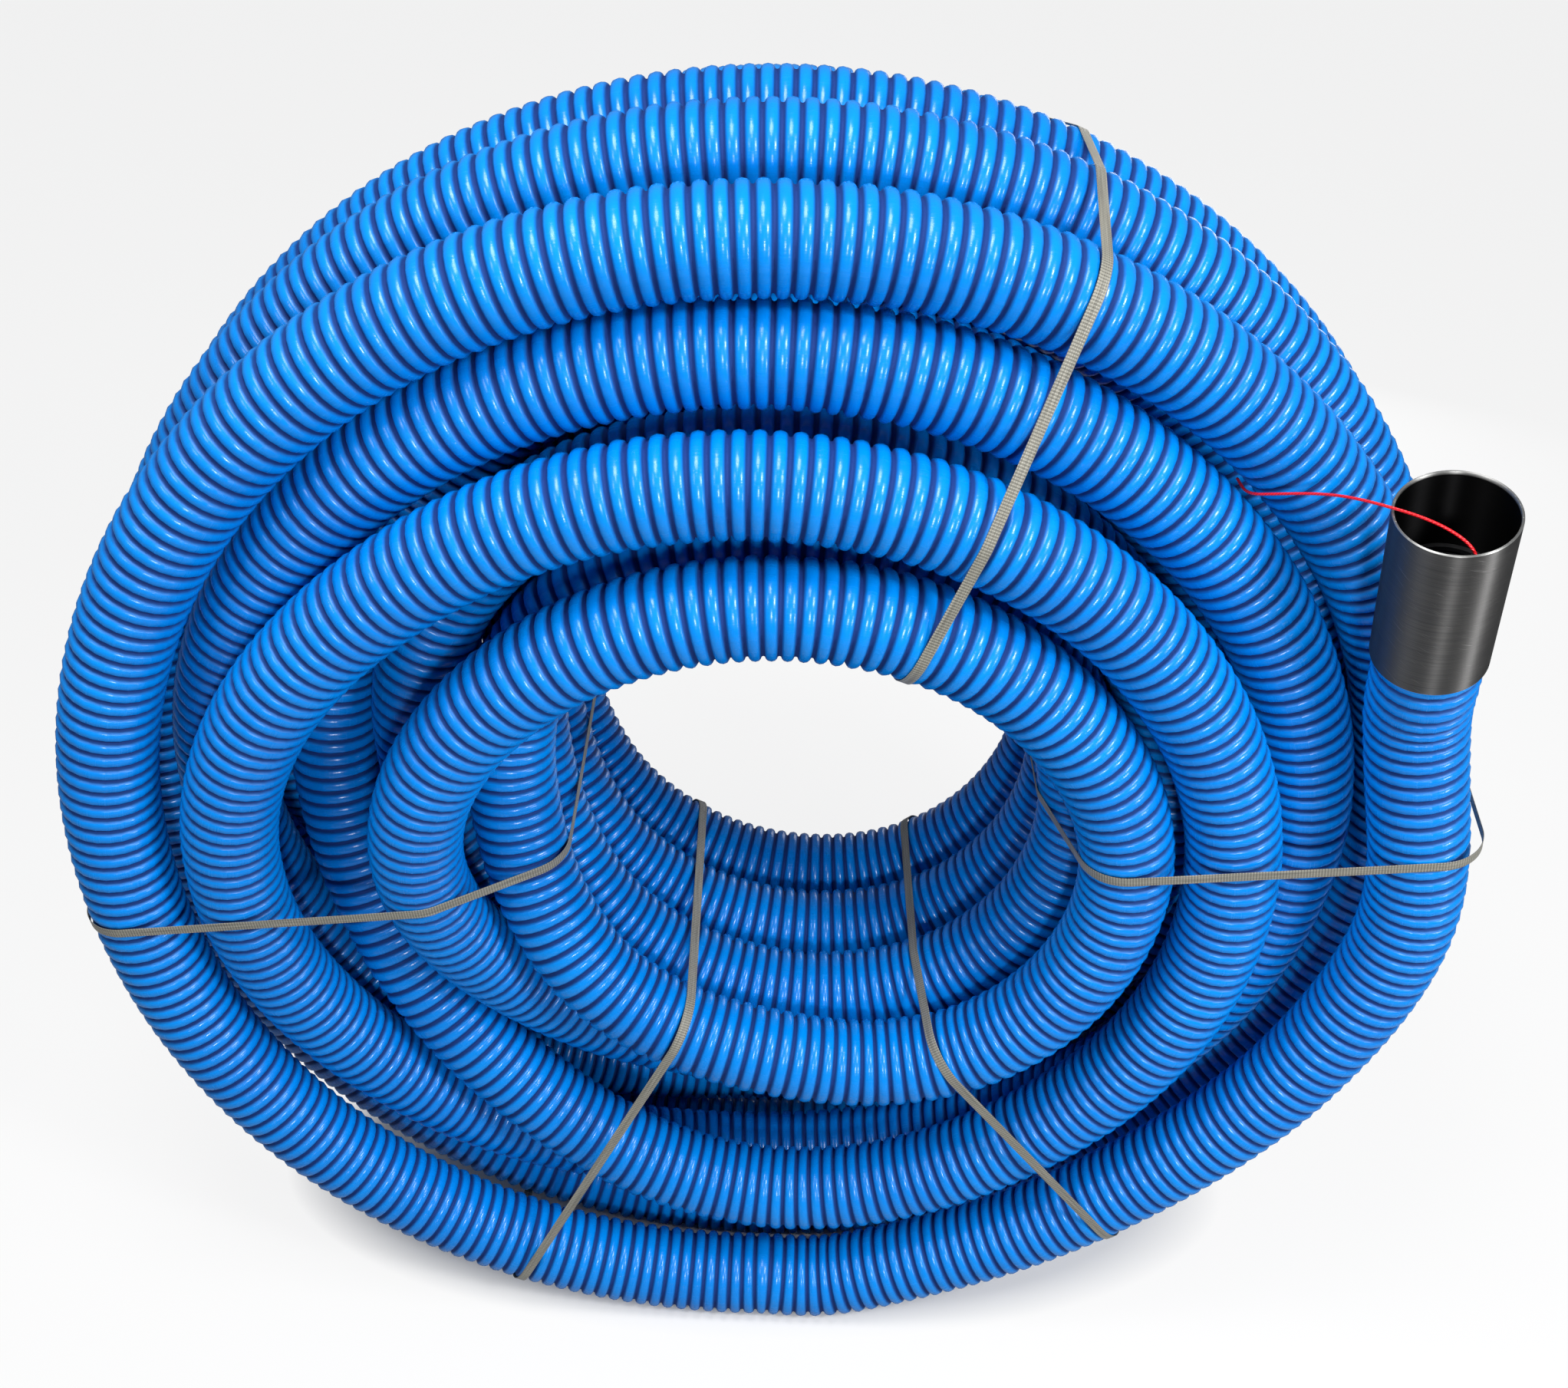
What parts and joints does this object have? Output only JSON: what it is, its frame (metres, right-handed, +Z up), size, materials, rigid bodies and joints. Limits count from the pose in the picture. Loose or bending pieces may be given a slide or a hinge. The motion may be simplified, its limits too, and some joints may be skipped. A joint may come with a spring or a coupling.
{
  "type": "strapped corrugated hose coil",
  "caption": "Coil of ribbed blue duct hose standing on its rim, bound with flat straps, with a push-on coupling sleeve on its free end and a draw cord.",
  "frame": {"origin": "on the floor, under the middle of the bounding box of everything but the draw cord", "axes": "+Z up, the coil's own axis along Y, its front with the sleeve towards -Y, +X to the right seen from the front"},
  "size_m": [1.6421, 0.6534, 1.6052],
  "materials": {
    "hose": "glossy blue ribbed polyethylene",
    "sleeve": "glossy near-black hard plastic, finely scratched",
    "seal": "matt black rubber",
    "stop": "matt black plastic",
    "cord": "satin red plastic cord",
    "strap": "grey woven strapping with a slight gloss",
    "clip": "folded and crimped zinc-plated steel"
  },
  "bodies": {
    "coil": {"hose_coil": "hose", "hose_end": "hose", "hose_tail": "hose", "seal_ring": "seal", "draw_cord": "cord", "strap_upper": "strap", "strap_right": "strap", "strap_lower_right": "strap", "strap_lower_left": "strap", "strap_left": "strap", "clip_upper": "clip", "clip_right": "clip", "clip_lower_right": "clip", "clip_lower_left": "clip", "clip_left": "clip"},
    "stop": {"stop_ring": "stop"},
    "sleeve": {"coupling_sleeve": "sleeve"}
  },
  "joints": [
    {"name": "sleeve_pull", "type": "slide", "parent": "coil", "child": "stop", "axis": [-0.1943, -0.2249, 0.9548], "range_m": [0, 0.1], "deforming": ["draw_cord"]},
    {"name": "sleeve_turn", "type": "hinge", "parent": "stop", "child": "sleeve", "pos_m": [0.6606, -0.2263, 1.163], "axis": [-0.1943, -0.2249, 0.9548], "continuous": true}
  ]
}
